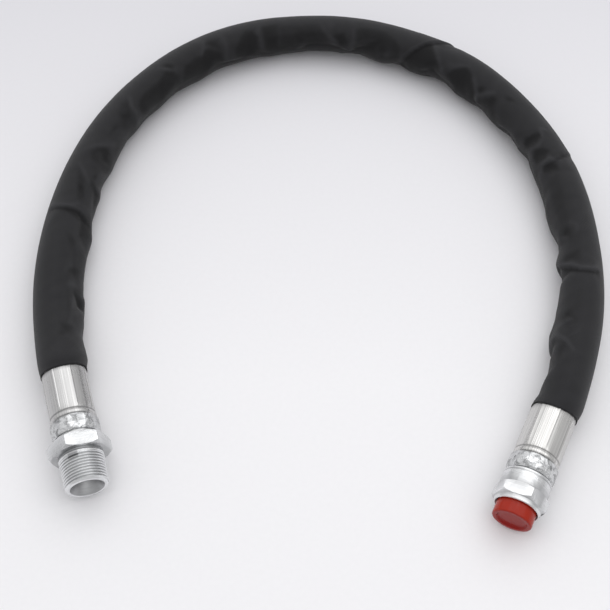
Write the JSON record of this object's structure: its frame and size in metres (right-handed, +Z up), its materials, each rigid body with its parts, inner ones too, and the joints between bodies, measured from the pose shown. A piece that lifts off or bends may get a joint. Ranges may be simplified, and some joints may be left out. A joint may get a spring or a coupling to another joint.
{
  "type": "hydraulic hose assembly",
  "caption": "Flexible hydraulic hose in a woven protective sleeve, with a crimped taper-thread pipe male at one end and a crimped pipe swivel nut closed by a push-in plug at the other.",
  "frame": {"origin": "centre of the two fittings' common box, in plan, on the surface that the hose lies on", "axes": "+X from the male end to the swivel end across the arch, +Y from the open ends towards the crown of the arch, +Z up"},
  "size_m": [0.4576, 0.4944, 0.045],
  "materials": {
    "rubber": "matte",
    "braid_wire": "satin",
    "sleeve_textile": "matte",
    "zinc_plated_steel": "satin",
    "ferrule_steel": "satin",
    "red_plastic": "satin"
  },
  "bodies": {
    "hose": {"inner_tube": "rubber", "inner_wire_braid": "braid_wire", "friction_layer": "rubber", "outer_wire_braid": "braid_wire", "hose_cover": "rubber", "protective_sleeve": "sleeve_textile", "male_insert": "zinc_plated_steel", "male_ferrule": "ferrule_steel", "swivel_insert": "zinc_plated_steel", "swivel_ferrule": "ferrule_steel", "nut_retaining_wire": "braid_wire"},
    "nut": {"swivel_nut": "zinc_plated_steel"},
    "plug": {"protective_plug": "red_plastic"}
  },
  "joints": [
    {"name": "nut_swivel", "type": "hinge", "parent": "hose", "child": "nut", "pos_m": [0.1604, -0.02807, 0.02013], "axis": [-0.4289, -0.9033, 0], "continuous": true},
    {"name": "plug_pull", "type": "slide", "parent": "nut", "child": "plug", "axis": [-0.4289, -0.9033, 0], "range_m": [0, 0.03]}
  ]
}
